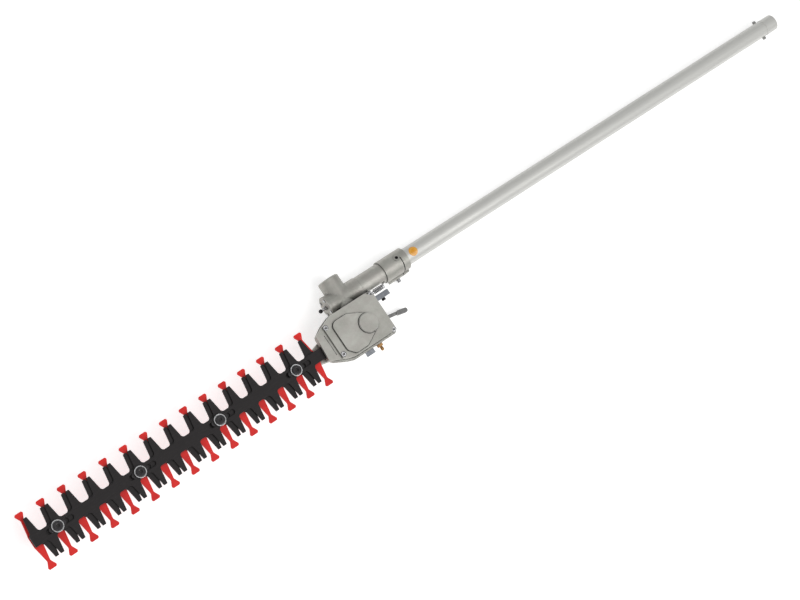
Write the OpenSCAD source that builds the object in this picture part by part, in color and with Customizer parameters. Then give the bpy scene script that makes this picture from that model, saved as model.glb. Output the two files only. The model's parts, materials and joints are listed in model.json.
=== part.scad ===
// Articulating double-sided hedge trimmer on a straight pole.
// Origin: centre of the pole's free end. +X points out of the free end, so the cutter is at -X.
// +Z is the cover side of the head. The tilt axis runs along Y through the pole's axis.

/* [Pole] */
// Outer diameter of the pole
pole_od = 26; // [24:0.5:28]
// Wall thickness of the pole
pole_wall = 1.6; // [1.2:0.1:2]
// Length of the pole, from its free end to its stop in the housing
pole_len = 793; // [500:1:1400]
// Distance from the pole's stop to the tilt axis
stop_to_tilt = 75; // [75:1:80]
// Radius of the drive shaft
shaft_r = 4; // [3.5:0.1:4.5]

/* [Cutter] */
// Distance between guard teeth
pitch = 32; // [31:0.5:33]
// Number of guard teeth on each side
stations = 15; // [14:1:16]
// Distance from the last guard tooth to the crank axis
tooth_to_crank = 90; // [88:1:100]
// Distance from the cutter's centre line to a guard tooth's tip
guard_reach = 41.7; // [40:0.1:43]
// Distance from the cutter's centre line to a cutter tooth's tip
cutter_reach = 31.8; // [30:0.1:32]
// Thickness of one cutter blade
blade_t = 2.6; // [2:0.1:2.6]
// Height of the face between the two blades above the pole's axis
blade_z = 24; // [24:0.5:25]
// Distance of the cutter's centre line from the pole's axis
blade_offset = 51; // [51:0.5:55]
// Throw of each eccentric, which is half a blade's stroke
throw = 8; // [7:0.5:8]
// Displacement of each blade from mid stroke at rest
rest_shift = 3.8; // [0:0.1:4]

/* [Head] */
// Height of the cover's flat top above the pole's axis
cover_top = 36; // [36:0.5:38]
// Radius of the round boss on the cover
boss_r = 14.2; // [14:0.1:15]
// Height of the flange between gear case and cover
flange_z = 22; // [22:0.1:22.5]
// Running clearance of pivots and bearings, measured on the radius
fit = 0.05; // [0.03:0.01:0.08]

/* [Hidden] */
$fn = 64;

pole_r = pole_od / 2;
bore_r = pole_r - pole_wall;
// Band at the free end, the shallow groove that ends it, and the studs behind them
end_band = 22;
end_groove_w = 1.5;
stud_x = 28;
stud_r = 2.8;
stud_h = 3.8;
bush_xs = [-250, -480, -700];
sticker_x = -740;
sticker_r = 6.8;
pivot_x = -(pole_len + stop_to_tilt);
blade_y = -blade_offset;
cutter_len = (stations - 1) * pitch;
first_x = -(cutter_len + tooth_to_crank);
gap = 0.2;
lower_z = blade_z - gap / 2 - blade_t;
upper_z = blade_z + gap / 2;
stack_top = upper_z + blade_t + gap;
guard_t = 3;
guard_z = lower_z - gap - guard_t;
bar_half = 8;
guard_half = 7.6;
bolt_stations = [1, 5, 9, 13];
bolt_r = 2.5;
spacer_half = 12.5;
spacer_r = 3.6;
slot_r = 3.8;
slot_half = spacer_half + throw + 0.5;
guard_screw_x = [-82, -76.5];
guard_screw_r = 2;

// Housing, x measured from the tilt axis
clamp_x0 = 74;
clamp_x1 = 115;
clamp_r = 16.8;
front_x = -21.5;
body_r = 15;
tee_r = 16;
tee_y1 = 33;
joint_face = -12.4;
clamp_bolt_x = 98;
clamp_bolt_z = -20;
clamp_bolt_r = 3;
locating_x = 99;
locating_turn = -18;
cap_screw_r = 1.2;
cap_screw_pitch_r = 12.6;

// Index plate and the neck that the head turns on
plate_y0 = -16.3;
plate_r = 21;
notches = 24;
notch_depth = 2.8;
plate_screw_r = 1.2;
plate_screw_pitch_r = 14;
plate_screw_turns = [30, 150, 270];
neck_r = 10;
collar_r = 11.8;
collar_y0 = -12.3;
collar_y1 = -10.6;
case_bearing_y0 = -22.7;
case_bearing_y1 = -19;
gear_bore = 13;

// Bearings: a journal of journal_r in a seat of seat_r, pressed in with almost no play
journal_r = 5;
seat_r = 11;
press = 0.02;
foot_r = 6;
foot_seat_r = 14;

// Bevel gears
module_size = 1.25;
pinion_teeth = 12;
side_teeth = 18;
crank_teeth = 36;
pinion_r = module_size * pinion_teeth / 2;
side_r = module_size * side_teeth / 2;
crank_r = module_size * crank_teeth / 2;
pinion_seat_r = 3.5;
pinion_bore = pinion_seat_r + 0.1;

// Crank train, heights above the pole's axis
rod_len = 40;
rod_eye_r = 5.5;
rod_t = 4.6;
rod_pin_r = 3;
lower_rod_z = guard_z + guard_t - rod_t - 0.5;
upper_rod_z = stack_top + 0.5;
eccentric_r = 13;
rod_ring_r = 16.6;
crank_phase = acos(rest_shift / throw);
throw_y = throw * sin(crank_phase);
rod_dx = sqrt(rod_len * rod_len - throw_y * throw_y);
rod_tilt = asin(throw_y / rod_len);

// Head outlines seen from above, measured from the crank axis
case_bottom = 4;
case_points = [
  [-71, 23.8], [-57, 32], [-41, 38], [30, 38], [36, 32],
  [36, -27.5], [31.5, -32], [-40, -32], [-50, -28.5], [-68, -19.5], [-73, -14.5]
];
case_radii = [2, 8, 6, 3, 3, 2, 2, 5, 5, 5, 2];
cover_points = [
  [-73, 23], [-56.5, 31], [-40.5, 37.3], [19.8, 37.3], [30.8, 27],
  [30.8, -20], [23, -28.5], [-39.5, -28.5], [-49.5, -25.8], [-67.5, -17.8], [-76, -14.4]
];
cover_radii = [2, 7, 6, 4, 4, 4, 4, 5, 5, 5, 2];
raised_points = [
  [-47, 27], [-20, 27], [2, 16], [15.5, 0], [4, -14], [-18, -25.5], [-38, -25.5], [-47, -16]
];
raised_radii = [9, 7, 8, 9, 8, 8, 6, 7];
// Hollow of the cover and the case, where the rods move
hollow_points = [
  [-62, 14], [-51, 20], [-38, 26.5], [19, 26.5], [25, 20], [25, -16],
  [19, -21.5], [-37, -21.5], [-46, -18.5], [-62, -11.5]
];
hollow_radii = [1, 3, 4, 3, 3, 3, 3, 3, 3, 1];
// Two cover screws stand on the cover's top, and two on the lip at its far corners
top_screw_spots = [[-55.5, 26.2], [-54.7, -17.2]];
lip_screw_spots = [[30.3, 32.4], [30, -26.2]];
screw_r = 1.85;
screw_head_r = 3.5;
screw_head_h = 3.4;
gasket_t = 0.4;
cover_bottom = flange_z + gasket_t;
lip_z = cover_bottom + 3.4;
mouth_half = bar_half + 1.6;
nose_step_x = -58.4;
groove_w = 1.1;
groove_depth = 0.8;
nipple_x = 7;
nipple_z = 10;

// Latch, measured from the tilt axis
hub_x = 30;
hub_z = -18;
latch_r = 4;
latch_y0 = -66.2;
latch_y1 = -13;
latch_plate_t = 3.2;
engage_turn = 8;
lug_spots = [-13, 24];
lug_half = 3;
bolt_y = -18;
bolt_z = 11;
tab_x = 35;
tab_hole_r = 3.5;
latch_bolt_r = 2;
spring_r = 3.2;
spring_x0 = 43;
spring_x1 = 57;
bracket_screw_r = 1.5;
bracket_screw_z = 11;
flange_screw_x = 50;

function unit(v) = v / norm(v);
// Interior bisector of corner b between neighbours a and c, scaled so that its end is d away from both sides
function bisector(a, b, c, d) =
  let (u = unit(a - b), v = unit(c - b))
  unit(u + v) * d / sin(acos(u * v) / 2);
// Polygon moved inward by d
function inset(pts, d) =
  [for (i = [0:len(pts) - 1])
    pts[i] + bisector(pts[(i + len(pts) - 1) % len(pts)], pts[i], pts[(i + 1) % len(pts)], d)];
function short_turn(a) = a > 180 ? a - 360 : a < -180 ? a + 360 : a;
function arc(m, r, a0, turn, n) = [for (i = [0:n]) m + r * [cos(a0 + turn * i / n), sin(a0 + turn * i / n)]];
function corner(a, b, c, r) =
  let (m = b + bisector(a, b, c, r), u = unit(a - b), v = unit(c - b))
  let (d = r / tan(acos(u * v) / 2), p = b + u * d - m, q = b + v * d - m)
  let (a0 = atan2(p.y, p.x), turn = short_turn(atan2(q.y, q.x) - a0))
  arc(m, r, a0, turn, ceil(abs(turn) / facet_turn(r)));
// Largest turn of one facet: small corners get coarser ones
function facet_turn(r) = r > 4.5 ? 8 : r > 1.9 ? 16 : 24;
// Polygon with every corner rounded by its own radius
function rounded(pts, radii) =
  [for (i = [0:len(pts) - 1])
    each corner(pts[(i + len(pts) - 1) % len(pts)], pts[i], pts[(i + 1) % len(pts)], radii[i])];

// Stations' points of one finger, repeated along +X, with the given offset
function comb(finger, stations_x) = [for (x = stations_x) for (p = finger) p + [x, 0]];
function repeat(list, times) = [for (i = [1:times]) each list];
// The same points mirrored to the -Y side, in the opposite order
function mirrored(pts) = [for (i = [len(pts) - 1:-1:0]) [pts[i].x, -pts[i].y]];
function reversed(list) = [for (i = [len(list) - 1:-1:0]) list[i]];

module bar_x(x0, x1, r) {
  translate([x0, 0, 0])
    rotate([0, 90, 0])
      cylinder(h = x1 - x0, r = r);
}
module bar_y(y0, y1, r) {
  translate([0, y0, 0])
    rotate([-90, 0, 0])
      cylinder(h = y1 - y0, r = r);
}
module bar_z(z0, z1, r) {
  translate([0, 0, z0])
    cylinder(h = z1 - z0, r = r);
}
module slab(z0, z1) {
  translate([0, 0, z0])
    linear_extrude(height = z1 - z0)
      children();
}
module block(lo, hi) {
  translate(lo)
    cube(hi - lo);
}
module at_pivot() {
  translate([pivot_x, 0, 0])
    children();
}
module at_crank() {
  translate([pivot_x, blade_y, 0])
    children();
}
module at_stations(list) {
  for (i = list)
    translate([pivot_x + first_x + i * pitch, blade_y, 0])
      children();
}
module hex_z(z0, z1, across) {
  translate([0, 0, z0])
    cylinder(h = z1 - z0, d = across / cos(30), $fn = 6);
}
// Deep-groove bearing about Z: two races with a ball row between them
module bearing_z(z0, z1, r_in, r_out) {
  mid = (r_in + r_out) / 2;
  ball = (r_out - r_in) * 0.2;
  difference() {
    bar_z(z0, z1, r_out);
    bar_z(z0 - 1, z1 + 1, mid + ball * 0.75);
  }
  difference() {
    bar_z(z0, z1, mid - ball * 0.75);
    bar_z(z0 - 1, z1 + 1, r_in);
  }
  difference() {
    bar_z((z0 + z1) / 2 - ball * 0.6, (z0 + z1) / 2 + ball * 0.6, mid + ball * 0.75);
    bar_z(z0 - 1, z1 + 1, mid - ball * 0.75);
  }
}

// One ring of bevel profile points at distance factor k from the apex
function bevel_ring(n, r, h, k, phase) =
  let (len = norm([r, h]), nr = h / len, nz = -r / len)
  [for (i = [0:n - 1], c = [[-0.31, -1.1], [-0.1, 0.95], [0.1, 0.95], [0.31, -1.1]])
    let (a = 360 * (i + c[0]) / n + phase, rr = k * (r + c[1] * module_size * nr))
    [rr * cos(a), rr * sin(a), k * (h + c[1] * module_size * nz)]];
function plain_ring(n, r, z, phase) =
  [for (i = [0:n - 1], c = [-0.31, -0.1, 0.1, 0.31])
    let (a = 360 * (i + c) / n + phase) [r * cos(a), r * sin(a), z]];
// Straight bevel gear about Z whose pitch cone has its apex at the origin
module bevel_gear(n, r, h, k, phase, back_r, back_z, in_r, front_z) {
  m = 4 * n;
  rings = [
    bevel_ring(n, r, h, 1, phase), plain_ring(n, back_r, back_z, phase), plain_ring(n, in_r, back_z, phase),
    plain_ring(n, in_r, front_z, phase), bevel_ring(n, r, h, k, phase)
  ];
  points = [for (ring = rings) each ring];
  faces = [for (j = [0:4], i = [0:m - 1])
    let (b = (j + 1) % 5, e = (i + 1) % m)
    each [[j * m + i, b * m + i, b * m + e], [j * m + i, b * m + e, j * m + e]]];
  polyhedron(points = points, faces = faces);
}

// ---- Pole ----
module pole_tube() {
  color("silver")
    difference() {
      bar_x(-pole_len, 0, pole_r);
      difference() {
        bar_x(-end_band - end_groove_w, -end_band, pole_r + 1);
        bar_x(-end_band - end_groove_w - 1, 1, pole_r - 0.4);
      }
      bar_x(-pole_len - 1, 1, bore_r);
      translate([-stud_x, 0, 0])
        bar_y(-pole_r - 1, pole_r + 1, stud_r + fit);
    }
}
module pole_end_bush() {
  color("gainsboro")
    difference() {
      bar_x(-20, -1, bore_r - press);
      bar_x(-21, 0, shaft_r + fit);
    }
}
module liner_bushes() {
  color("dimgray")
    for (x = bush_xs)
      translate([x, 0, 0])
        difference() {
          bar_x(-12, 12, bore_r - press);
          bar_x(-13, 13, shaft_r + fit);
        }
}
module locating_studs() {
  color("lightgray")
    for (side = [-1, 1])
      translate([-stud_x, 0, 0])
        rotate([0, 0, side * 90]) {
          bar_x(bore_r - 1, pole_r + stud_h - 0.6, stud_r);
          bar_x(pole_r, pole_r + stud_h, stud_r - 0.6);
        }
}
module pole_sticker() {
  color("orange")
    translate([sticker_x, 0, 0])
      intersection() {
        difference() {
          bar_x(-8, 8, pole_r + 0.17);
          bar_x(-9, 9, pole_r + press);
        }
        translate([0, 0.5, 0])
          bar_z(0, pole_r + 1, sticker_r);
      }
}

// ---- Pole housing, fixed to the pole ----
module pole_housing() {
  lug_x = [85, 114.5];
  lug_y = [-19.5, 14];
  slit = 0.8;
  color("darkgray")
    at_pivot()
      difference() {
        union() {
          bar_x(front_x, 31, tee_r);
          bar_x(30, clamp_x0, body_r);
          bar_x(clamp_x0 - 1, clamp_x1, clamp_r);
          bar_y(joint_face, tee_y1 - 1.5, tee_r);
          translate([0, tee_y1 - 1.5, 0])
            rotate([-90, 0, 0])
              cylinder(h = 1.5, r1 = tee_r, r2 = tee_r - 1.4);
          block([lug_x[0], lug_y[0], -26], [lug_x[1], lug_y[1], -6]);
          rotate([locating_turn, 0, 0])
            translate([locating_x, 0, 0])
              bar_z(pole_r + 1, clamp_r + 0.9, 4.4);
        }
        block([-40, -30, -30], [clamp_x0 - 6, joint_face, 30]);
        bar_x(stop_to_tilt, clamp_x1 + 1, pole_r + 0.04);
        bar_x(front_x - 1, stop_to_tilt + 1, 9.5);
        bar_x(20, 44, seat_r);
        bar_y(-7.4, tee_y1 + 1, gear_bore);
        bar_y(joint_face - 1, collar_y1 + 0.1, collar_r + 0.1);
        bar_y(joint_face - 1, 0, 6);
        block([clamp_x0 + 6, -slit, -27], [clamp_x1 + 1, slit, 0]);
        block([104 - slit, -20, -27], [104 + slit, 4, 20]);
        translate([clamp_bolt_x, 0, clamp_bolt_z]) {
          bar_y(-20, 15, clamp_bolt_r + 0.05);
          bar_y(9.5, 15, 5.6);
        }
        rotate([locating_turn, 0, 0])
          translate([locating_x, 0, 0])
            bar_z(0, 20, 2.55);
        at_plate_screws()
          bar_y(joint_face - 1, -7, plate_screw_r + 0.03);
        at_cap_screws()
          bar_x(front_x - 1, -13.5, cap_screw_r + 0.03);
      }
}
module at_plate_screws() {
  for (a = plate_screw_turns)
    rotate([0, a, 0])
      translate([plate_screw_pitch_r, 0, 0])
        children();
}
module at_cap_screws() {
  for (a = [45:90:315])
    rotate([a, 0, 0])
      translate([0, 0, cap_screw_pitch_r])
        children();
}
module boss_plug() {
  color("gray")
    at_pivot()
      union() {
        bar_y(26, 29, gear_bore - press);
        bar_y(28.5, 31, 8);
      }
}
module front_cap() {
  color("gray")
    at_pivot()
      difference() {
        bar_x(front_x - 3.4, front_x - 0.05, tee_r + 0.4);
        block([-40, -30, -30], [front_x + 1, joint_face, 30]);
        bar_x(front_x - 4, front_x, 3.05);
        at_cap_screws()
          bar_x(front_x - 4, front_x, cap_screw_r + 0.2);
      }
}
module front_cap_screws() {
  color("gray")
    at_pivot()
      at_cap_screws() {
        bar_x(front_x - 3.42, -14, cap_screw_r);
        bar_x(front_x - 4.6, front_x - 3.41, 2.2);
      }
}
module pole_grease_nipple() {
  color("dimgray")
    at_pivot() {
      bar_x(front_x - 6.5, front_x - 1, 3);
      bar_x(front_x - 11, front_x - 6.4, 1.8);
      translate([front_x - 13, 0, 0])
        sphere(r = 3);
    }
}
module clamp_bolt() {
  color("dimgray")
    at_pivot()
      translate([clamp_bolt_x, 0, clamp_bolt_z])
        difference() {
          union() {
            bar_y(-24.5, 9.6, clamp_bolt_r);
            bar_y(9.5, 14, 5.3);
          }
          translate([0, 14.5, 0])
            rotate([90, 0, 0])
              hex_z(0, 3.5, 5);
        }
}
module locating_screw() {
  color("dimgray")
    at_pivot()
      rotate([locating_turn, 0, 0])
        translate([locating_x, 0, 0])
          difference() {
            bar_z(pole_r + 0.1, clamp_r + 0.2, 2.5);
            hex_z(clamp_r - 1.8, clamp_r + 1, 2.5);
          }
}
module pinion_bearings() {
  color("silver")
    at_pivot()
      rotate([0, 90, 0])
        for (x = [23, 36])
          bearing_z(x, x + 6, journal_r + press, seat_r - press);
}
module boss_bearing() {
  color("silver")
    at_pivot()
      rotate([-90, 0, 0])
        bearing_z(17, 25, journal_r + press, gear_bore - press);
}
// Steel disc with a notch every 15 degrees, screwed to the housing's joint face
module index_plate() {
  notch_x = plate_r - notch_depth;
  color("slategray")
    at_pivot()
      difference() {
        bar_y(plate_y0, joint_face - press, plate_r);
        bar_y(plate_y0 - 1, joint_face + 1, neck_r + fit);
        for (i = [0:notches - 1])
          rotate([0, i * 360 / notches, 0])
            translate([0, joint_face + 1, 0])
              rotate([90, 0, 0])
                linear_extrude(height = joint_face - plate_y0 + 2)
                  polygon([
                    [notch_x, -1], [notch_x, 1], [notch_x + 4, 2.6], [notch_x + 4, -2.6]
                  ]);
        at_plate_screws()
          bar_y(plate_y0 - 1, joint_face + 1, plate_screw_r + 0.2);
      }
}
module index_screws() {
  color("silver")
    at_pivot()
      at_plate_screws()
        bar_y(plate_y0, -8, plate_screw_r);
}

// ---- Drive line ----
module drive_shaft() {
  spline_h = 0.6;
  color("gray")
    difference() {
      union() {
        bar_x(pivot_x + 76, -3, shaft_r);
        bar_x(pivot_x + 64, pivot_x + 76.1, 2.4);
      }
      for (i = [0:8])
        rotate([i * 40, 0, 0])
          block([-19, -0.45, shaft_r - spline_h], [-2, 0.45, shaft_r + 1]);
    }
}
module pinion_shaft() {
  color("gray")
    at_pivot()
      difference() {
        union() {
          bar_x(8, 18, pinion_seat_r);
          bar_x(18, 48, journal_r);
          bar_x(42.1, 44, 6.4);
          bar_x(47, 74, 6.2);
        }
        bar_x(62, 75, 2.45);
      }
}
module drive_pinion() {
  color("dimgray")
    at_pivot()
      rotate([0, 90, 0])
        bevel_gear(pinion_teeth, pinion_r, side_r, 0.62, 180 / pinion_teeth, 7, side_r + 5, pinion_bore, 7);
}
module cross_shaft() {
  shoulder_y = blade_y + crank_r + 5.2;
  color("gray")
    at_pivot() {
      bar_y(blade_y + 14.5, shoulder_y, pinion_seat_r);
      bar_y(shoulder_y, 25.5, journal_r);
    }
}
module cross_gear() {
  color("dimgray")
    at_pivot()
      rotate([-90, 0, 0])
        bevel_gear(side_teeth, side_r, pinion_r, 0.62, 0, 11.6, pinion_r + 8.4, 5.05, 5.2);
}
module cross_pinion() {
  color("dimgray")
    at_crank()
      rotate([-90, 0, 0])
        bevel_gear(pinion_teeth, pinion_r, crank_r, 0.74, 180 / pinion_teeth, 7, crank_r + 5,
          pinion_bore, 17.2);
}

// ---- Head ----
// Rib that carries the latch shaft, seen from the side
module latch_lug(y) {
  translate([0, y - lug_half, 0]) {
    translate([hub_x, 0, hub_z])
      bar_y(0, 2 * lug_half, latch_r + 2.6);
    block([hub_x - 12, 0, hub_z - 2], [hub_x - 1, 2 * lug_half, -6]);
    block([hub_x - 6, 0, hub_z], [hub_x + 3, 2 * lug_half, -6]);
  }
}
// Space for the rods: the hollow, and the circle that a small end travels round
module rod_hollow(y) {
  polygon(rounded(hollow_points, hollow_radii));
  translate([-rod_dx, y])
    circle(r = throw + rod_eye_r + 0.5);
}
module gear_case_body() {
  rim_z = flange_z - 4.4;
  drum_r = 29;
  difference() {
    union() {
      slab(rim_z, flange_z)
        polygon(rounded(case_points, case_radii));
      slab(case_bottom, rim_z + 0.1)
        polygon(rounded(inset(case_points, 4), [for (r = case_radii) max(r - 1, 1)]));
      bar_z(-15, 5, drum_r);
      bar_z(-18, -14, foot_seat_r + 4);
      block([-15, 5, -15], [15, 34, rim_z]);
      block([-22, -28, -15], [28.5, 28, 5]);
      slab(5, guard_z)
        polygon(rounded([[-62, 18], [-86, 10.8], [-86, -10.8], [-62, -16]], [1, 2, 2, 1]));
      for (p = top_screw_spots)
        translate([p.x, p.y, 0])
          bar_z(6.5, rim_z + 0.1, screw_r + 2);
      for (y = lug_spots)
        latch_lug(y);
      translate([0, blade_offset + bolt_y, bolt_z])
        bar_x(20, 28, 4.5);
      translate([nipple_x, 0, nipple_z])
        bar_y(-32, -26, 6);
    }
    // room for the index plate, and for the latch's plate and tab
    bar_y(34, 40, plate_r + 0.7);
    block([20, blade_offset - 17.2, -30], [42, 40, 5.8]);
    block([28.5, blade_offset - 25, -6], [42, 40, 17]);
  }
}
module gear_case() {
  color("darkgray")
    at_crank()
      difference() {
        union() {
          gear_case_body();
          // neck, held in the housing by its collar behind the index plate
          bar_y(33, blade_offset + collar_y0 + 0.1, neck_r);
          bar_y(blade_offset + collar_y0, blade_offset + collar_y1, collar_r);
        }
        // cavities of the crank, the rods and the blades
        bar_z(3.5, 23, 26.3);
        bar_z(-8, 4, 11);
        bar_z(-14, -6, foot_seat_r);
        slab(15.2, 23)
          rod_hollow(throw_y);
        block([-77, -mouth_half, guard_z], [-60, mouth_half, 23]);
        // bores of the cross shaft and its bearings
        bar_y(4, 29, 10);
        bar_y(28, blade_offset + case_bearing_y1, seat_r);
        bar_y(30, 46, 8.5);
        // bore of the latch shaft, open between its ribs
        translate([hub_x, 0, hub_z]) {
          bar_y(-30, 30, latch_r + fit);
          bar_y(-45, lug_spots[0] - lug_half, latch_r + 0.7);
          bar_y(lug_spots[0] + lug_half, lug_spots[1] - lug_half, latch_r + 0.7);
        }
        for (x = guard_screw_x)
          translate([x, 0, 0])
            bar_z(6, 20, guard_screw_r + 0.05);
        for (p = top_screw_spots)
          translate([p.x, p.y, 0])
            bar_z(8, 23, screw_r + 0.05);
        for (p = lip_screw_spots)
          translate([p.x, p.y, 0])
            bar_z(19, 23, screw_r + 0.05);
        translate([0, blade_offset + bolt_y, bolt_z])
          bar_x(23, 40, latch_bolt_r + 0.05);
        at_case_bracket_screw()
          bar_x(22, 40, bracket_screw_r + 0.05);
        at_side_bracket_screw()
          bar_y(-40, -24, bracket_screw_r + 0.05);
        translate([nipple_x, 0, nipple_z])
          bar_y(-33, -24, 3.02);
      }
}
module at_case_bracket_screw() {
  translate([0, blade_offset - 33.5, bracket_screw_z])
    children();
}
module at_side_bracket_screw() {
  translate([-10, 0, 13])
    children();
}
module case_gasket() {
  color("dimgray")
    at_crank()
      difference() {
        slab(flange_z + 0.01, cover_bottom - 0.01)
          polygon(rounded(inset(case_points, 0.6), [for (r = case_radii) max(r - 1, 1)]));
        slab(flange_z - 1, cover_bottom + 1)
          polygon(rounded(hollow_points, hollow_radii));
        block([-80, -mouth_half, 20], [-60, mouth_half, 24]);
        for (p = concat(top_screw_spots, lip_screw_spots))
          translate([p.x, p.y, 0])
            bar_z(20, 24, screw_r + 0.1);
      }
}
// Outline grown by the width of the groove cast round it
module groove_outline(points, radii) {
  polygon(rounded(inset(points, -groove_w), [for (r = radii) r + groove_w]));
}
module cover_flange() {
  difference() {
    slab(cover_bottom, lip_z)
      polygon(rounded(inset(case_points, 0.5), [for (r = case_radii) max(r - 0.5, 1)]));
    slab(lip_z - groove_depth, lip_z + 1)
      intersection() {
        groove_outline(cover_points, cover_radii);
        union() {
          translate([22, -60])
            square([40, 89]);
          translate([-45, -60])
            square([100, 50]);
        }
      }
  }
}
module cover_body(step_z) {
  nose_groove_x = nose_step_x - 3.6;
  difference() {
    slab(cover_bottom, step_z)
      polygon(rounded(cover_points, cover_radii));
    block([nose_groove_x - groove_w, -13, step_z - groove_depth], [nose_groove_x, 18.5, step_z + 1]);
  }
  difference() {
    slab(step_z - 1, cover_top)
      intersection() {
        polygon(rounded(cover_points, cover_radii));
        translate([nose_step_x, -50])
          square([100, 100]);
      }
    slab(cover_top - groove_depth, cover_top + 1) {
      groove_outline(raised_points, raised_radii);
      circle(r = boss_r + groove_w);
    }
  }
}
module cover_boss(raised_z) {
  difference() {
    slab(cover_top - 1, raised_z)
      polygon(rounded(raised_points, raised_radii));
    bar_z(raised_z - groove_depth, raised_z + 1, boss_r + groove_w);
  }
  bar_z(cover_top - 1, cover_top + 4.6, boss_r);
  bar_z(cover_top + 4.5, cover_top + 5.2, boss_r - 0.8);
}
module crank_cover() {
  step_z = cover_top - 3;
  raised_z = cover_top + 3;
  color("darkgray")
    at_crank()
      difference() {
        union() {
          cover_flange();
          cover_body(step_z);
          cover_boss(raised_z);
        }
        slab(cover_bottom - 1, step_z - 0.3)
          rod_hollow(-throw_y);
        bar_z(cover_bottom - 1, step_z - 0.3, 25.9);
        bar_z(cover_top - 4, raised_z - 0.1, seat_r);
        block([-80, -mouth_half, cover_bottom - 1], [-56, mouth_half, stack_top + 1.5]);
        for (p = top_screw_spots)
          translate([p.x, p.y, 0]) {
            bar_z(20, 40, screw_r + 0.2);
            bar_z(step_z, 40, screw_head_r + 0.5);
          }
        for (p = lip_screw_spots)
          translate([p.x, p.y, 0])
            bar_z(20, lip_z + 1, screw_r + 0.2);
      }
}
// Cap screw about Z with its head's seat at z = 0
module cap_screw(length) {
  difference() {
    union() {
      bar_z(-length, 0.05, screw_r);
      bar_z(0.01, screw_head_h, screw_head_r);
    }
    hex_z(screw_head_h - 2, screw_head_h + 1, 3);
  }
}
module cover_screws() {
  color("silver")
    at_crank() {
      for (p = top_screw_spots)
        translate([p.x, p.y, cover_top - 3])
          cap_screw(24);
      for (p = lip_screw_spots)
        translate([p.x, p.y, lip_z])
          cap_screw(6.5);
    }
}
module neck_bearing() {
  color("silver")
    at_pivot()
      difference() {
        bar_y(-17.1, collar_y1 - 0.1, 8.48);
        bar_y(-18, -6, 5.03);
      }
}
module case_bearing() {
  color("silver")
    at_pivot()
      rotate([-90, 0, 0])
        bearing_z(case_bearing_y0, case_bearing_y1 - press, journal_r + press, seat_r - press);
}
module crank_bearing_upper() {
  color("silver")
    at_crank()
      bearing_z(cover_top - 3.1, cover_top + 2.8, journal_r + press, seat_r - press);
}
module crank_bearing_lower() {
  color("silver")
    at_crank()
      bearing_z(-13.9, -6.1, foot_r + press, foot_seat_r - press);
}

// ---- Cutter ----
// Guard finger pointing +Y: waisted, with a flared tip
guard_finger = [
  [-6.3, guard_half], [-5.2, 13], [-2.2, 31], [-6.3, guard_reach - 2.6], [-4.8, guard_reach],
  [4.8, guard_reach], [6.3, guard_reach - 2.6], [2.2, 31], [5.2, 13], [6.3, guard_half]
];
guard_finger_radii = [1.5, 3, 4, 1.6, 1.5, 1.5, 1.6, 4, 3, 1.5];
// Cutter finger pointing +Y: tapered, with a square tip
cutter_finger = [
  [-8.4, bar_half], [-5.9, 10], [-2.5, cutter_reach], [2.5, cutter_reach], [5.9, 10], [8.4, bar_half]
];
cutter_finger_radii = [2.5, 3.5, 0.8, 0.8, 3.5, 2.5];

module guard_bar() {
  x_list = [for (i = [0:stations - 1]) i * pitch];
  side = comb(guard_finger, x_list);
  side_radii = repeat(guard_finger_radii, stations);
  end_x = cutter_len + tooth_to_crank - 71;
  color("crimson")
    translate([pivot_x + first_x, blade_y, 0])
      slab(guard_z, guard_z + guard_t)
        difference() {
          polygon(rounded(
            concat(side, [[end_x, guard_half], [end_x, -guard_half]], mirrored(side)),
            concat(side_radii, [2, 2], reversed(side_radii))
          ));
          for (i = bolt_stations)
            translate([i * pitch, 0])
              circle(r = bolt_r + 0.05);
          for (x = guard_screw_x)
            translate([cutter_len + tooth_to_crank + x, 0])
              circle(r = guard_screw_r + 0.05);
        }
}
module guard_screws() {
  color("silver")
    at_crank()
      for (x = guard_screw_x)
        translate([x, 0, 0])
          bar_z(7, guard_z + guard_t - 0.3, guard_screw_r);
}
module blade_bolts() {
  color("dimgray")
    at_stations(bolt_stations)
      difference() {
        union() {
          bar_z(guard_z - 6.6, stack_top + 1.7, bolt_r);
          bar_z(stack_top + 1.61, stack_top + 4.6, 6.2);
        }
        hex_z(stack_top + 2.4, stack_top + 6, 5);
      }
}
module blade_washers() {
  color("silver")
    at_stations(bolt_stations)
      difference() {
        bar_z(stack_top, stack_top + 3.2, 8.3);
        bar_z(stack_top + 1.6, stack_top + 4, 7);
        bar_z(stack_top - 1, stack_top + 2, bolt_r + 0.06);
      }
}
// Straight slot or bar with round ends, lying along X
module stadium(half_length, r) {
  square([2 * (half_length - r), 2 * r], center = true);
  for (side = [-1, 1])
    translate([side * (half_length - r), 0])
      circle(r = r);
}
module blade_spacers() {
  color("silver")
    at_stations(bolt_stations)
      slab(guard_z + guard_t + 0.01, stack_top - 0.01)
        difference() {
          stadium(spacer_half, spacer_r);
          circle(r = bolt_r + 0.06);
        }
}
module blade_nuts() {
  color("silver")
    at_stations(bolt_stations)
      difference() {
        hex_z(guard_z - 5, guard_z - 0.01, 8);
        bar_z(guard_z - 6, guard_z + 1, bolt_r + 0.06);
      }
}
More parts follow.
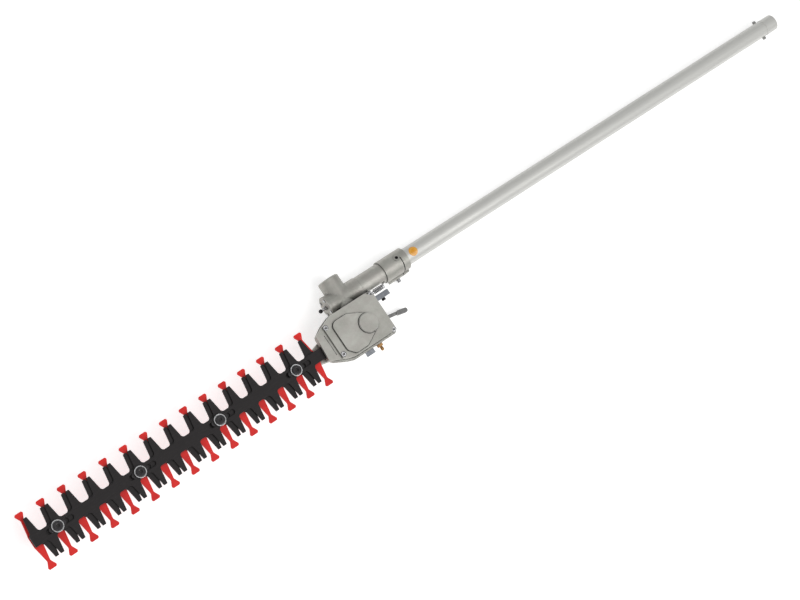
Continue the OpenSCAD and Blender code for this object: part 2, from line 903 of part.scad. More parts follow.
// Blade outline at mid stroke. Its +Y teeth start at station first and are shifted by lean.
module blade_shape(first, lean, root) {
  tail = cutter_len + tooth_to_crank - rod_dx + 7;
  front = comb(cutter_finger, [for (i = [first:first + stations - 2]) i * pitch + lean]);
  back = comb(cutter_finger, [for (i = [0:stations - 2]) (i + 0.5) * pitch]);
  side_radii = repeat(cutter_finger_radii, stations - 1);
  difference() {
    polygon(rounded(
      concat([[root, -bar_half]], root < front[0].x ? [[root, bar_half]] : [], front,
        [[tail, bar_half], [tail, -bar_half]], mirrored(back)),
      concat([0.8], root < front[0].x ? [0.8] : [], side_radii, [2, 2], side_radii)
    ));
    for (i = bolt_stations)
      translate([i * pitch, 0])
        stadium(slot_half, slot_r);
    translate([cutter_len + tooth_to_crank - rod_dx, 0])
      circle(r = rod_pin_r + 0.2);
  }
}
module upper_blade() {
  color("dimgray")
    translate([pivot_x + first_x + rest_shift, blade_y, 0])
      slab(upper_z, upper_z + blade_t)
        blade_shape(0, -0.7, cutter_finger[0].x - 0.7);
}
module lower_blade() {
  color("dimgray")
    translate([pivot_x + first_x - rest_shift, blade_y, 0])
      slab(lower_z, lower_z + blade_t)
        blade_shape(1, 0.7, -1.5);
}

// ---- Crank ----
module crankshaft() {
  color("gray")
    at_crank()
      union() {
        bar_z(-13.8, -5, foot_r);
        bar_z(-5.5, 13.7, 7);
        bar_z(13.6, lower_rod_z - 0.3, 8);
        translate([-rest_shift, -throw_y, 0])
          bar_z(lower_rod_z - 0.4, lower_rod_z + rod_t + 0.4, eccentric_r);
        bar_z(lower_rod_z + rod_t + 0.3, upper_rod_z - 0.3, 9);
        translate([rest_shift, throw_y, 0])
          bar_z(upper_rod_z - 0.4, upper_rod_z + rod_t + 0.2, eccentric_r);
        bar_z(upper_rod_z, cover_top + 2.6, journal_r);
      }
}
module crank_gear() {
  color("dimgray")
    at_crank()
      bevel_gear(crank_teeth, crank_r, pinion_r, 0.74, 0, 23.2, 13.4, 7.05, 6.5);
}
// Connecting rod about its big end, with its eye towards -X
module rod_shape(z0) {
  difference() {
    union() {
      bar_z(z0, z0 + rod_t, rod_ring_r);
      translate([-rod_len, 0, 0])
        bar_z(z0, z0 + rod_t, rod_eye_r);
      slab(z0, z0 + rod_t)
        polygon([[-rod_len, 4], [-12, 9], [-12, -9], [-rod_len, -4]]);
    }
    bar_z(z0 - 1, z0 + rod_t + 1, eccentric_r + fit);
    translate([-rod_len, 0, 0])
      bar_z(z0 - 1, z0 + rod_t + 1, rod_pin_r + press);
  }
}
module upper_rod() {
  color("silver")
    at_crank()
      translate([rest_shift, throw_y, 0])
        rotate([0, 0, rod_tilt])
          rod_shape(upper_rod_z);
}
module lower_rod() {
  color("silver")
    at_crank()
      translate([-rest_shift, -throw_y, 0])
        rotate([0, 0, -rod_tilt])
          rod_shape(lower_rod_z);
}
module upper_rod_pin() {
  color("gray")
    at_crank()
      translate([rest_shift - rod_dx, 0, 0])
        bar_z(upper_z + blade_t + 0.3, upper_rod_z + rod_t, rod_pin_r);
}
module lower_rod_pin() {
  color("gray")
    at_crank()
      translate([-rest_shift - rod_dx, 0, 0])
        bar_z(lower_rod_z, lower_z - 0.3, rod_pin_r);
}

// ---- Latch ----
// Plate with the locking tooth, drawn with the tooth in its notch, then turned back out of it
module latch_plate() {
  tip_x = plate_r - notch_depth + 0.7;
  translate([hub_x, latch_y1, hub_z])
    rotate([0, engage_turn, 0])
      rotate([90, 0, 0])
        linear_extrude(height = latch_plate_t)
          translate([-hub_x, -hub_z]) {
            polygon([
              [tip_x, -0.7], [tip_x, 0.7], [22.4, 1.3], [23, 4], [tab_x, 4], [tab_x, hub_z],
              [25, hub_z], [24, -12], [23, -4], [22.4, -1.3]
            ]);
            translate([hub_x, hub_z])
              circle(r = 6.4);
          }
}
module latch_lever() {
  arm_z = hub_z - 2;
  color("gray")
    at_pivot()
      difference() {
        union() {
          translate([hub_x, 0, hub_z])
            bar_y(latch_y0, latch_y1, latch_r);
          latch_plate();
          // tab that the spring pushes on
          block([tab_x, -24, -2], [tab_x + 3, latch_y1, 16]);
          // finger lever
          slab(arm_z, arm_z + 4)
            polygon(rounded(
              [[25, -51.5], [40, -52.5], [66, -56.8], [66, -61.6], [42, -58.2], [25, -59]],
              [3, 6, 2, 2, 6, 3]
            ));
          slab(arm_z - 1, arm_z + 5)
            polygon(rounded([[64, -55.4], [82, -59.2], [83.6, -66.6], [65.6, -62.8]], [3.4, 3.4, 3.4, 3.4]));
        }
        translate([0, bolt_y, bolt_z])
          bar_x(tab_x - 1, tab_x + 4, tab_hole_r);
      }
}
// Angle plate over the spring
module latch_bracket() {
  face_x = 32.1;
  top_z = 16.8;
  side_y = -32;
  sheet = 1.8;
  color("lightsteelblue")
    at_pivot()
      difference() {
        union() {
          block([face_x, side_y - 5, 7], [face_x + sheet, -25.5, top_z]);
          block([face_x, side_y, top_z - sheet], [61, -24, top_z]);
          block([flange_screw_x - 5, side_y, 6.5], [flange_screw_x + 5, side_y + 1.6, top_z - 0.8]);
        }
        translate([0, side_y - 1.5, bracket_screw_z])
          bar_x(20, 40, bracket_screw_r + 0.2);
        translate([flange_screw_x, 0, bracket_screw_z])
          bar_y(-35, -29, bracket_screw_r + 0.2);
      }
}
module side_bracket() {
  foot_z = 6.5;
  sheet = 1.6;
  color("lightsteelblue")
    at_crank()
      difference() {
        union() {
          block([-17, -28.1 - sheet, foot_z], [-3, -28.1, foot_z + 10]);
          block([-17, -38.5, foot_z], [-3, -28.1, foot_z + sheet]);
        }
        at_side_bracket_screw()
          bar_y(-40, -20, bracket_screw_r + 0.2);
      }
}
module bracket_screws() {
  color("dimgray") {
    at_pivot()
      translate([flange_screw_x, 0, bracket_screw_z]) {
        bar_y(-32.1, -27.5, bracket_screw_r);
        bar_y(-35.6, -32.02, 2.9);
        translate([0, -30.37, 0])
          rotate([-90, 0, 0])
            hex_z(0, 2.2, 5.5);
      }
    at_crank() {
      at_case_bracket_screw() {
        bar_x(24, 34, bracket_screw_r);
        bar_x(33.95, 38.5, 3);
      }
      at_side_bracket_screw() {
        bar_y(-29.8, -25, bracket_screw_r);
        bar_y(-31.6, -29.72, 2.8);
      }
    }
  }
}
module latch_bolt() {
  color("silver")
    at_pivot()
      translate([0, bolt_y, bolt_z]) {
        bar_x(23.5, 57.5, latch_bolt_r);
        rotate([0, 90, 0])
          hex_z(57.4, 61, 6.5);
      }
}
// Helical spring along X: rings of wire points swept round the bolt
module latch_spring() {
  turns = 6;
  steps = 18;
  sides = 8;
  wire = 0.6;
  count = turns * steps;
  rings = [for (j = [0:count])
    let (a = 360 * j / steps, x = spring_x0 + wire + (spring_x1 - spring_x0 - 2 * wire) * j / count)
    [for (k = [0:sides - 1])
      let (b = 360 * k / sides, r = spring_r + wire * cos(b))
      [x + wire * sin(b), r * cos(a), r * sin(a)]]];
  walls = [for (j = [0:count - 1], k = [0:sides - 1])
    let (e = (k + 1) % sides)
    [j * sides + k, j * sides + e, (j + 1) * sides + e, (j + 1) * sides + k]];
  start_cap = [for (k = [sides - 1:-1:0]) k];
  end_cap = [for (k = [0:sides - 1]) count * sides + k];
  color("silver")
    at_pivot()
      translate([0, bolt_y, bolt_z])
        polyhedron(points = [for (ring = rings) each ring], faces = concat([start_cap], walls, [end_cap]));
}
module side_nipple() {
  color("peru")
    at_crank()
      translate([nipple_x, 0, nipple_z]) {
        bar_y(-32.1, -26.5, 3);
        rotate([90, 0, 0])
          hex_z(32.01, 36, 8.5);
        bar_y(-40, -35.9, 2.2);
        translate([0, -40, 0])
          sphere(r = 2.6);
      }
}

pole_tube();
pole_end_bush();
liner_bushes();
locating_studs();
pole_sticker();
pole_housing();
boss_plug();
front_cap();
front_cap_screws();
pole_grease_nipple();
clamp_bolt();
locating_screw();
pinion_bearings();
boss_bearing();
index_plate();
index_screws();
drive_shaft();
pinion_shaft();
drive_pinion();
cross_shaft();
cross_gear();
cross_pinion();
gear_case();
case_gasket();
crank_cover();
cover_screws();
neck_bearing();
case_bearing();
crank_bearing_upper();
crank_bearing_lower();
guard_bar();
guard_screws();
blade_bolts();
blade_washers();
blade_spacers();
blade_nuts();
latch_bracket();
side_bracket();
bracket_screws();
latch_bolt();
latch_spring();
side_nipple();
crankshaft();
crank_gear();
upper_rod();
upper_rod_pin();
lower_rod();
lower_rod_pin();
upper_blade();
lower_blade();
latch_lever();
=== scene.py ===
"""Looks of the pole hedge trimmer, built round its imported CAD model. Lengths are in metres."""
import json
import math

import bmesh
import bpy
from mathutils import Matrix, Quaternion, Vector


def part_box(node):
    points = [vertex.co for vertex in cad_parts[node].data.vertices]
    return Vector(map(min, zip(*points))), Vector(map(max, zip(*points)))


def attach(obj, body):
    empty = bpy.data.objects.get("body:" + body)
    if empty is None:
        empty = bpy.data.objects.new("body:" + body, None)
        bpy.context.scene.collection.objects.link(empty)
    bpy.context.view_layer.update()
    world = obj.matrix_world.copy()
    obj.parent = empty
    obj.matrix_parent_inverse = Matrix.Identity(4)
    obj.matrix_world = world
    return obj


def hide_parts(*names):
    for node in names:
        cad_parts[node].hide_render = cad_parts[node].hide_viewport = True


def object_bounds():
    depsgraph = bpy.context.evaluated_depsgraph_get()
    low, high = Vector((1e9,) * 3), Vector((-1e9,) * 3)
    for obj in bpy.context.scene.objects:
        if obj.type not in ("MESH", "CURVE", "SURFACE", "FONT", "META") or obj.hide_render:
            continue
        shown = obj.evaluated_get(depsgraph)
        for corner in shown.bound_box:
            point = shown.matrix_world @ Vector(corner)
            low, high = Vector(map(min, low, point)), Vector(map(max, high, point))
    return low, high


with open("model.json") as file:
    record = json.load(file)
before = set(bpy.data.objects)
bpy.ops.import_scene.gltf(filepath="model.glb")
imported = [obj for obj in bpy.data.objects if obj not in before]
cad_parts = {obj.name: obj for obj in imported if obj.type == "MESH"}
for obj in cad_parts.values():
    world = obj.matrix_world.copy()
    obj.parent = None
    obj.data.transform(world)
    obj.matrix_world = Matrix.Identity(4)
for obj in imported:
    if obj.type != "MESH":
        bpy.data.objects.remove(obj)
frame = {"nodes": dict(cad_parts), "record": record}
cad_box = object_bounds()
cad_middle = (cad_box[0] + cad_box[1]) / 2
MM = 0.001


def box_middle(node):
    """The centre of a CAD node's box."""
    low, high = (Vector(corner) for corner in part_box(node))
    return (low + high) / 2


# ---- Node materials ----
# The part of a noise's range that becomes 0 to 1, for the clouds in a colour and for the roughness
CLOUDY = (0.35, 0.65)
MOTTLED = (0.3, 0.7)
# Sockets of the colour mix node
MIX_FACTOR, MIX_FIRST, MIX_SECOND, MIX_RESULT = 0, 6, 7, 2
# Number of rays that look for edges and for corners
EDGE_SAMPLES = 4
CORNER_SAMPLES = 8


class Finish:
    """A node material on the Principled shader in object coordinates, with helpers for patterns."""

    def __init__(self, name, metallic, roughness, **constants):
        self.material = bpy.data.materials.new(name)
        self.material.use_nodes = True
        self.tree = self.material.node_tree
        self.shader = self.tree.nodes["Principled BSDF"]
        self.shader.inputs["Metallic"].default_value = metallic
        self.shader.inputs["Roughness"].default_value = roughness
        for socket, value in constants.items():
            self.shader.inputs[socket.replace("_", " ")].default_value = value
        self.place = self.node("ShaderNodeTexCoord").outputs["Object"]
        self.normal = None

    def node(self, kind, **settings):
        made = self.tree.nodes.new(kind)
        for key, value in settings.items():
            setattr(made, key, value)
        return made

    def feed(self, made, **links):
        """Links or sets the sockets of a node, named with _ for a space."""
        for socket, value in links.items():
            target = made.inputs[socket.replace("_", " ")]
            if isinstance(value, bpy.types.NodeSocket):
                self.tree.links.new(value, target)
            else:
                target.default_value = value
        return made

    def stretched(self, scale):
        """Object coordinates scaled by a factor for each axis."""
        mapping = self.feed(self.node("ShaderNodeMapping"), Vector=self.place, Scale=scale)
        return mapping.outputs["Vector"]

    def noise(self, size, detail=3.0, roughness=0.55, stretch=(1, 1, 1)):
        """Noise with blobs about size metres across, longer along an axis whose stretch is below 1."""
        place = self.stretched(stretch)
        made = self.feed(self.node("ShaderNodeTexNoise"), Vector=place, Scale=1 / size, Detail=detail,
                         Roughness=roughness)
        return made.outputs["Fac"]

    def span(self, value, low, high, to_low=0.0, to_high=1.0):
        """value carried from the range low..high to the range to_low..to_high, and kept inside it."""
        made = self.feed(self.node("ShaderNodeMapRange"), Value=value, From_Min=low, From_Max=high,
                         To_Min=to_low, To_Max=to_high)
        return made.outputs["Result"]

    def math(self, operation, a, b=0.0):
        made = self.node("ShaderNodeMath", operation=operation)
        for index, value in enumerate((a, b)):
            if isinstance(value, bpy.types.NodeSocket):
                self.tree.links.new(value, made.inputs[index])
            else:
                made.inputs[index].default_value = value
        return made.outputs["Value"]

    def blend(self, a, b, factor):
        """Colour a with colour b laid over it by factor."""
        made = self.node("ShaderNodeMix", data_type="RGBA")
        for index, value in ((MIX_FACTOR, factor), (MIX_FIRST, a), (MIX_SECOND, b)):
            if isinstance(value, bpy.types.NodeSocket):
                self.tree.links.new(value, made.inputs[index])
            else:
                made.inputs[index].default_value = value if index == MIX_FACTOR else (*value, 1.0)
        return made.outputs[MIX_RESULT]

    def layer(self, under, colour, mask, amount):
        """Colour under with colour laid over it by amount where mask is 1."""
        return self.blend(under, colour, self.math("MULTIPLY", mask, amount))

    def edges(self, radius):
        """1 on edges that are sharper than radius, and 0 on flat and gently curved surface."""
        bevel = self.node("ShaderNodeBevel", samples=EDGE_SAMPLES)
        rounded = self.feed(bevel, Radius=radius).outputs["Normal"]
        true = self.node("ShaderNodeNewGeometry").outputs["Normal"]
        dot = self.node("ShaderNodeVectorMath", operation="DOT_PRODUCT")
        self.tree.links.new(rounded, dot.inputs[0])
        self.tree.links.new(true, dot.inputs[1])
        return self.span(dot.outputs["Value"], 0.995, 0.90)

    def shaded(self, distance, open_sky, closed_sky):
        """0 where surfaces within distance leave a share open_sky of the view, and 1 at closed_sky."""
        made = self.node("ShaderNodeAmbientOcclusion", samples=CORNER_SAMPLES)
        self.feed(made, Distance=distance)
        return self.span(made.outputs["AO"], open_sky, closed_sky)

    def crevices(self, distance):
        """1 deep in corners and grooves, and 0 on open surface."""
        return self.shaded(distance, 0.95, 0.35)

    def grooves(self, distance):
        """1 on the floor of a groove about as narrow as distance, where even near walls shade it."""
        return self.shaded(distance, 0.72, 0.45)

    def bump(self, height, depth, strength):
        """Adds a layer of bump whose full height is depth metres."""
        made = self.feed(self.node("ShaderNodeBump"), Height=height, Distance=depth, Strength=strength)
        if self.normal is not None:
            self.tree.links.new(self.normal, made.inputs["Normal"])
        self.normal = made.outputs["Normal"]

    def done(self, colour, roughness):
        """Links the colour, the roughness and the layers of bump, and gives the material."""
        self.tree.links.new(colour, self.shader.inputs["Base Color"])
        self.tree.links.new(roughness, self.shader.inputs["Roughness"])
        self.tree.links.new(self.normal, self.shader.inputs["Normal"])
        return self.material


def worn(finish, colour, bare, dirt_and_shade, edge, wear, grime_and_shade):
    """Colour with bare metal on edges sharper than edge, dirt and painted shade in corners, and the
    rubbed part.
    """
    patches = finish.span(finish.noise(5 * MM, 4), 0.42, 0.62)
    rubbed = finish.math("MULTIPLY", finish.math("MULTIPLY", finish.edges(edge), patches), wear)
    # Corners darkened from an occlusion mask: dirt and painted shade
    dirt_and_shade_mask = finish.math("MULTIPLY", finish.crevices(3 * MM), grime_and_shade)
    return finish.blend(finish.blend(colour, dirt_and_shade, dirt_and_shade_mask), bare, rubbed), rubbed


def cast_aluminium():
    """Fine blasted casting: cloudy grey, a tight grain, painted shade in grooves, dirt and painted
    shade in corners, brighter edges.
    """
    shade, tone, warm = (0.34, 0.34, 0.305), (0.46, 0.46, 0.42), (0.40, 0.375, 0.35)
    pale, groove_shade = (0.50, 0.50, 0.47), (0.035, 0.034, 0.032)
    bare, dirt_and_shade = (0.66, 0.66, 0.64), (0.05, 0.05, 0.047)
    f = Finish("cast_aluminium", 0.6, 0.5)
    cloud = f.span(f.noise(22 * MM, 4), *CLOUDY)
    flow = f.span(f.noise(9 * MM, 5, 0.6, stretch=(0.5, 1, 1)), 0.4, 0.62)
    base = f.blend(shade, tone, cloud)
    base = f.layer(base, warm, flow, amount=0.6)
    speckle = f.span(f.noise(1.1 * MM, 3, 0.6), 0.38, 0.62)
    base = f.layer(base, pale, speckle, amount=0.22)
    # Painted shade: near-black laid into narrow grooves
    base = f.layer(base, groove_shade, f.grooves(1.1 * MM), amount=0.85)
    # Corners darkened by dirt and painted shade; edges rubbed bare
    colour, rubbed = worn(f, base, bare, dirt_and_shade, edge=0.8 * MM, wear=0.7, grime_and_shade=0.8)
    f.bump(f.noise(0.55 * MM, 2, 0.5), depth=0.05 * MM, strength=0.55)
    f.bump(f.noise(4 * MM, 3), depth=0.12 * MM, strength=0.35)
    matte = f.span(f.noise(3 * MM, 3), *MOTTLED, 0.42, 0.56)
    return f.done(colour, f.math("SUBTRACT", matte, f.math("MULTIPLY", rubbed, 0.14)))


def drawn_aluminium():
    """Anodised tube: fine lines along the pole, a few longer scratches and faint handling marks."""
    shade, tone = (0.545, 0.545, 0.52), (0.64, 0.64, 0.61)
    scratched, handled = (0.74, 0.74, 0.71), (0.53, 0.53, 0.51)
    f = Finish("drawn_aluminium", 0.3, 0.45)
    lines = f.noise(0.35 * MM, 3, 0.6, stretch=(0.004, 1, 1))
    marks = f.span(f.noise(1.2 * MM, 2, 0.5, stretch=(0.03, 1, 1)), 0.66, 0.72)
    smudge = f.span(f.noise(60 * MM, 4, 0.6, stretch=(0.5, 1, 1)), 0.4, 0.65)
    base = f.blend(shade, tone, f.span(lines, *CLOUDY))
    base = f.layer(base, scratched, marks, amount=0.4)
    base = f.layer(base, handled, smudge, amount=0.35)
    f.bump(lines, depth=0.02 * MM, strength=0.3)
    matte = f.span(smudge, 0, 1, 0.38, 0.47)
    return f.done(base, f.math("ADD", matte, f.math("MULTIPLY", marks, -0.08)))


def steel(name, colour, bare, rough, wear, metallic=1.0):
    """Small steel parts: a fine grain, slight cloudiness, rubbed edges and corners darkened by oil and
    painted shade.
    """
    oil_and_shade = (0.03, 0.028, 0.025)
    f = Finish(name, metallic, rough)
    cloud = f.span(f.noise(6 * MM, 4), *CLOUDY)
    darker = tuple(c * 0.78 for c in colour)
    base = f.blend(darker, colour, cloud)
    # Corners darkened by oil and painted shade
    tint, rubbed = worn(f, base, bare, oil_and_shade, edge=0.3 * MM, wear=wear, grime_and_shade=0.7)
    f.bump(f.noise(1.5 * MM, 3), depth=0.02 * MM, strength=0.4)
    matte = f.span(f.noise(2 * MM, 3), *MOTTLED, rough - 0.06, rough + 0.08)
    return f.done(tint, f.math("SUBTRACT", matte, f.math("MULTIPLY", rubbed, 0.1)))


def black_blade():
    """Blackened blade: rolled grain along its length, scuffs from cutting and faintly bright edges."""
    shade, tone, scuffed = (0.009, 0.007, 0.0075), (0.015, 0.012, 0.0125), (0.034, 0.030, 0.031)
    bare, dirt_and_shade = (0.13, 0.12, 0.12), (0.008, 0.007, 0.007)
    f = Finish("black_blade", 0.0, 0.42, Specular_IOR_Level=0.28)
    rolled = f.noise(0.5 * MM, 3, 0.6, stretch=(0.05, 1, 1))
    scuffs = f.span(f.noise(3 * MM, 5, 0.65, stretch=(0.35, 1.6, 1)), 0.56, 0.72)
    base = f.blend(shade, tone, f.span(rolled, *CLOUDY))
    base = f.layer(base, scuffed, scuffs, amount=0.4)
    # Corners get a near-black colour: dirt and painted shade
    colour, rubbed = worn(f, base, bare, dirt_and_shade, edge=0.35 * MM, wear=0.45, grime_and_shade=0.4)
    f.bump(rolled, depth=0.03 * MM, strength=0.4)
    f.bump(scuffs, depth=0.02 * MM, strength=0.5)
    matte = f.span(scuffs, 0, 1, 0.46, 0.34)
    return f.done(colour, f.math("SUBTRACT", matte, f.math("MULTIPLY", rubbed, 0.08)))


def shade_under_blades(finish):
    """1 along the middle of the guard bar, under the blades that slide over it, where painted shade
    darkens it.
    """
    half_width, fade = 6.0 * MM, 1.2 * MM
    clean_tip, tip_fade = 11 * MM, 2 * MM
    middle = box_middle("guard_bar")
    tip_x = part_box("guard_bar")[0][0]
    axes = finish.node("ShaderNodeSeparateXYZ")
    finish.tree.links.new(finish.place, axes.inputs[0])
    aside = finish.math("ABSOLUTE", finish.math("SUBTRACT", axes.outputs["Y"], middle.y))
    from_tip = finish.math("SUBTRACT", axes.outputs["X"], tip_x)
    ragged = finish.math("MULTIPLY", finish.noise(3 * MM, 4), 2 * MM)
    inside = finish.span(finish.math("ADD", aside, ragged), half_width + fade, half_width)
    return finish.math("MULTIPLY", inside, finish.span(from_tip, clean_tip, clean_tip + tip_fade))


def red_enamel():
    """Dipped enamel: slight orange peel, chipped edges, painted shade in corners and under the blades
    along the middle.
    """
    shade, tone = (0.62, 0.013, 0.011), (0.74, 0.020, 0.015)
    chipped, corner_shade, under_blade_shade = (0.20, 0.10, 0.09), (0.24, 0.006, 0.008), (0.016, 0.013, 0.013)
    f = Finish("red_enamel", 0.0, 0.36, Specular_IOR_Level=0.3, Coat_Weight=0.08, Coat_Roughness=0.12)
    cloud = f.span(f.noise(12 * MM, 3), *CLOUDY)
    base = f.blend(shade, tone, cloud)
    chips = f.math("MULTIPLY", f.edges(0.3 * MM), f.span(f.noise(2.2 * MM, 4), 0.58, 0.64))
    base = f.layer(base, chipped, chips, amount=0.75)
    # Painted shade: darker red in corners
    base = f.layer(base, corner_shade, f.crevices(2.5 * MM), amount=0.6)
    # Painted shade: near-black along the bar's middle, under the blades
    base = f.blend(base, under_blade_shade, shade_under_blades(f))
    f.bump(f.noise(1.4 * MM, 2), depth=0.05 * MM, strength=0.35)
    f.bump(chips, depth=0.05 * MM, strength=-0.6)
    return f.done(base, f.span(f.noise(4 * MM, 3), *MOTTLED, 0.28, 0.42))


def moulded(name, colour, rough):
    """Moulded plastic or gasket sheet: even tone with a fine matte grain, and painted shade in
    corners.
    """
    f = Finish(name, 0.0, rough)
    paler = tuple(min(1.0, c * 1.12 + 0.004) for c in colour)
    darker = tuple(c * 0.45 for c in colour)
    base = f.blend(colour, paler, f.span(f.noise(8 * MM, 3), *CLOUDY))
    # Painted shade: a darker tone laid into corners
    base = f.layer(base, darker, f.crevices(2 * MM), amount=0.5)
    f.bump(f.noise(0.4 * MM, 2), depth=0.03 * MM, strength=0.5)
    return f.done(base, f.span(f.noise(2 * MM, 2), *MOTTLED, rough - 0.07, rough + 0.07))


def sticker_film():
    """Round orange film with a paler ring inside its rim."""
    shade, tone, pale = (0.64, 0.26, 0.010), (0.74, 0.32, 0.016), (0.84, 0.52, 0.12)
    ring_in, ring_out, ring_fade = 4.5 * MM, 5.5 * MM, 0.2 * MM
    centre = box_middle("pole_sticker")
    f = Finish("sticker_film", 0.0, 0.28, Coat_Weight=0.4, Coat_Roughness=0.1)
    flattened = f.feed(f.node("ShaderNodeMapping"), Vector=f.place, Location=(-centre.x, -centre.y, 0),
                       Scale=(1, 1, 0))
    reach = f.node("ShaderNodeVectorMath", operation="LENGTH")
    f.tree.links.new(flattened.outputs["Vector"], reach.inputs[0])
    far = reach.outputs["Value"]
    past_inner = f.span(far, ring_in - ring_fade, ring_in + ring_fade)
    inside_outer = f.span(far, ring_out + ring_fade, ring_out - ring_fade)
    ring = f.math("MULTIPLY", past_inner, inside_outer)
    base = f.blend(shade, tone, f.span(f.noise(5 * MM, 3), *CLOUDY))
    base = f.layer(base, pale, ring, amount=0.6)
    f.bump(f.noise(1.5 * MM, 2), depth=0.02 * MM, strength=0.3)
    return f.done(base, f.span(f.noise(6 * MM, 3), *MOTTLED, 0.22, 0.36))


FINISHES = {
    "cast_aluminium": cast_aluminium(),
    "anodised_pole": drawn_aluminium(),
    "dark_steel": steel("dark_steel", (0.050, 0.048, 0.050), (0.30, 0.29, 0.28), 0.38, 0.6),
    "bright_steel": steel("bright_steel", (0.62, 0.62, 0.63), (0.80, 0.80, 0.79), 0.27, 0.5),
    "ground_steel": steel("ground_steel", (0.48, 0.48, 0.50), (0.70, 0.70, 0.70), 0.24, 0.5),
    "gear_steel": steel("gear_steel", (0.20, 0.20, 0.21), (0.55, 0.55, 0.55), 0.32, 0.8),
    "zinc_plate": steel("zinc_plate", (0.27, 0.285, 0.31), (0.60, 0.61, 0.62), 0.34, 0.6),
    "brass": steel("brass", (0.52, 0.30, 0.13), (0.85, 0.62, 0.36), 0.24, 0.6),
    "red_enamel": red_enamel(),
    "black_blade": black_blade(),
    "white_plastic": moulded("white_plastic", (0.62, 0.62, 0.60), 0.5),
    "liner_plastic": moulded("liner_plastic", (0.03, 0.03, 0.032), 0.55),
    "gasket_sheet": moulded("gasket_sheet", (0.028, 0.028, 0.027), 0.7),
    "orange_sticker": sticker_film(),
}

# Two pieces whose skin is duller than their slot's other parts
OWN_FINISH = {
    "latch_lever": steel("lever_steel", (0.24, 0.24, 0.235), (0.60, 0.60, 0.58), 0.36, 0.8),
    "locating_studs": steel("stud_steel", (0.36, 0.36, 0.35), (0.60, 0.60, 0.58), 0.5, 0.4,
                            metallic=0.3),
}
# A second finish on some pieces, for the faces that a test picks by their centre
NIPPLE_TIP_LENGTH = 5.6 * MM
NIPPLE_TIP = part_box("pole_grease_nipple")[0][0] + NIPPLE_TIP_LENGTH
TWO_TONE = {
    "pole_grease_nipple": ("dark_steel", lambda centre: centre.x < NIPPLE_TIP),
}


# ---- Surfaces made from the CAD nodes ----
SLOTS = {row["node"]: row["material_slot"] for row in frame["record"]["subparts"]}
BODY_OF = {
    node: body
    for body, nodes in frame["record"]["behaviour"]["bodies"].items()
    for node in nodes
}
# Points nearer than this are one point, and faces meeting at a smaller angle are one flat face
SAME_POINT = 0.002 * MM
FLAT = math.radians(0.6)
# Edges that turn by more than ROUND_FROM are rounded. Then edges below SMOOTH_BELOW shade smoothly.
ROUND_FROM = math.radians(32)
SMOOTH_BELOW = math.radians(35)
ROUND_SEGMENTS = 2


def clean_mesh(source, name):
    """The CAD surface with its triangles merged back into flat faces, as a new mesh."""
    work = bmesh.new()
    work.from_mesh(source.data)
    bmesh.ops.remove_doubles(work, verts=work.verts, dist=SAME_POINT)
    bmesh.ops.dissolve_limit(work, angle_limit=FLAT, verts=work.verts, edges=work.edges)
    work.verts.index_update()
    mesh = bpy.data.meshes.new(name)
    points = [vert.co.copy() for vert in work.verts]
    mesh.from_pydata(points, [], [[vert.index for vert in face.verts] for face in work.faces])
    work.free()
    mesh.update()
    return mesh


def smooth_shaded(mesh):
    """Smooth shading, with edges kept sharp where the surface turns by SMOOTH_BELOW or more."""
    work = bmesh.new()
    work.from_mesh(mesh)
    for face in work.faces:
        face.smooth = True
    for edge in work.edges:
        edge.smooth = len(edge.link_faces) == 2 and edge.calc_face_angle(0) < SMOOTH_BELOW
    work.to_mesh(mesh)
    work.free()


def apply_modifiers(piece):
    """Replaces the piece's mesh by what its modifiers make of it."""
    view = bpy.context.evaluated_depsgraph_get()
    mesh = bpy.data.meshes.new_from_object(piece.evaluated_get(view))
    piece.modifiers.clear()
    piece.data = mesh


def surface(node, round_by):
    """Adds a copy of a CAD node with its edges rounded by round_by, which stands for the node."""
    mesh = clean_mesh(frame["nodes"][node], node + "_surface")
    piece = bpy.data.objects.new(node + "_surface", mesh)
    bpy.context.scene.collection.objects.link(piece)
    bevel = piece.modifiers.new("round", "BEVEL")
    bevel.width = round_by
    bevel.segments = ROUND_SEGMENTS
    bevel.limit_method = "ANGLE"
    bevel.angle_limit = ROUND_FROM
    bevel.miter_outer = "MITER_ARC"
    apply_modifiers(piece)
    smooth_shaded(piece.data)
    weighted = piece.modifiers.new("even", "WEIGHTED_NORMAL")
    weighted.keep_sharp = True
    piece.data.materials.append(OWN_FINISH.get(node, FINISHES[SLOTS[node]]))
    if node in TWO_TONE:
        second, chosen = TWO_TONE[node]
        piece.data.materials.append(FINISHES[second])
        for face in piece.data.polygons:
            face.material_index = int(chosen(face.center))
    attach(piece, BODY_OF[node])
    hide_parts(node)


# How far each piece's edges are rounded, in mm. The other nodes keep their CAD surface.
ROUNDED = {
    "crank_cover": 0.7, "gear_case": 0.7, "pole_housing": 0.7, "front_cap": 0.4,
    "guard_bar": 0.5, "upper_blade": 0.35, "lower_blade": 0.35, "latch_lever": 0.5,
    "index_plate": 0.3, "boss_plug": 0.3, "clamp_bolt": 0.3, "blade_bolts": 0.35,
    "blade_washers": 0.25, "blade_nuts": 0.3, "blade_spacers": 0.2, "cover_screws": 0.3,
    "bracket_screws": 0.25, "front_cap_screws": 0.2, "latch_bracket": 0.3, "side_bracket": 0.3,
    "side_nipple": 0.25, "pole_grease_nipple": 0.2, "latch_bolt": 0.25, "locating_studs": 0.3,
    "locating_screw": 0.2, "pole_tube": 0.25, "pole_end_bush": 0.3,
}
for node_name, width in ROUNDED.items():
    surface(node_name, width * MM)
for node_name, slot_name in SLOTS.items():
    if node_name not in ROUNDED:
        materials = frame["nodes"][node_name].data.materials
        if not materials:
            materials.append(FINISHES[slot_name])
        for index in range(len(materials)):
            materials[index] = FINISHES[slot_name]


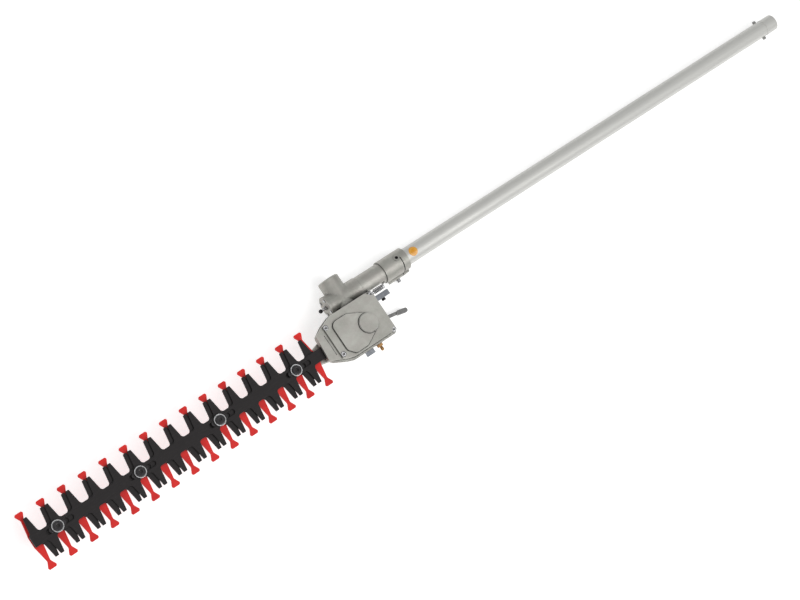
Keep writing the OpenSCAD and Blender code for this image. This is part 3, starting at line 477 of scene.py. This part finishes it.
# ---- Floor, light and camera ----
FLOOR_HALF = 8.0
FLOOR_GREY = 0.80
FLOOR_GLOW = 0.52
SKY_STRENGTH = 0.45
# Place from the object's middle and height above the frame's origin, in metres, then size and watts
KEY_LIGHT = ((0.3, -1.5, 2.6), 2.6, 58)
FILL_LIGHT = ((-1.4, 1.6, 2.6), 2.6, 8)
CAMERA_PLACE = Vector((-1.7978, -0.1449, 2.4033))
CAMERA_TARGET = Vector((-0.7936, -0.0469, 0.0))
CAMERA_ROLL = math.radians(50.86)
CAMERA_LENS = 82.93
SENSOR_WIDTH = 36


def pale_floor():
    """A large plain floor at the object's lowest point."""
    mesh = bpy.data.meshes.new("floor")
    corners = [
        (cad_middle.x + side_x * FLOOR_HALF, cad_middle.y + side_y * FLOOR_HALF, cad_box[0].z)
        for side_x, side_y in ((-1, -1), (1, -1), (1, 1), (-1, 1))
    ]
    mesh.from_pydata(corners, [], [(0, 1, 2, 3)])
    floor = bpy.data.objects.new("floor", mesh)
    bpy.context.scene.collection.objects.link(floor)
    material = bpy.data.materials.new("floor")
    material.use_nodes = True
    shader = material.node_tree.nodes["Principled BSDF"]
    shader.inputs["Base Color"].default_value = (FLOOR_GREY, FLOOR_GREY, FLOOR_GREY, 1)
    shader.inputs["Emission Color"].default_value = (1, 1, 1, 1)
    shader.inputs["Emission Strength"].default_value = FLOOR_GLOW
    shader.inputs["Roughness"].default_value = 0.9
    shader.inputs["Specular IOR Level"].default_value = 0.1
    mesh.materials.append(material)


def aimed(place, target):
    """The rotation that turns -Z from place to target, with Y as near to up as it goes."""
    return (target - place).to_track_quat("-Z", "Y")


def soft_light(name, offset, size, power):
    """A square area light, aimed at the object's middle."""
    data = bpy.data.lights.new(name, "AREA")
    data.energy = power
    data.size = size
    light = bpy.data.objects.new(name, data)
    light.location = (cad_middle.x + offset[0], cad_middle.y + offset[1], offset[2])
    light.rotation_euler = aimed(Vector(light.location), cad_middle).to_euler()
    bpy.context.scene.collection.objects.link(light)


def studio():
    """An even pale sky with a key light and a weak fill."""
    world = bpy.data.worlds.new("studio")
    world.use_nodes = True
    sky = world.node_tree.nodes["Background"]
    sky.inputs["Color"].default_value = (1, 1, 1, 1)
    sky.inputs["Strength"].default_value = SKY_STRENGTH
    scene = bpy.context.scene
    scene.world = world
    scene.view_settings.view_transform = "Standard"
    soft_light("key", *KEY_LIGHT)
    soft_light("fill", *FILL_LIGHT)


def photo_camera():
    """A camera above the head's end of the object, rolled about its own axis."""
    data = bpy.data.cameras.new("camera")
    data.sensor_width = SENSOR_WIDTH
    data.sensor_fit = "HORIZONTAL"
    data.lens = CAMERA_LENS
    data.clip_start = 0.05
    data.clip_end = 50
    camera = bpy.data.objects.new("camera", data)
    camera.location = CAMERA_PLACE
    camera.rotation_mode = "QUATERNION"
    roll = Quaternion((0, 0, 1), CAMERA_ROLL)
    camera.rotation_quaternion = aimed(CAMERA_PLACE, CAMERA_TARGET) @ roll
    bpy.context.scene.collection.objects.link(camera)
    bpy.context.scene.camera = camera


pale_floor()
studio()
photo_camera()
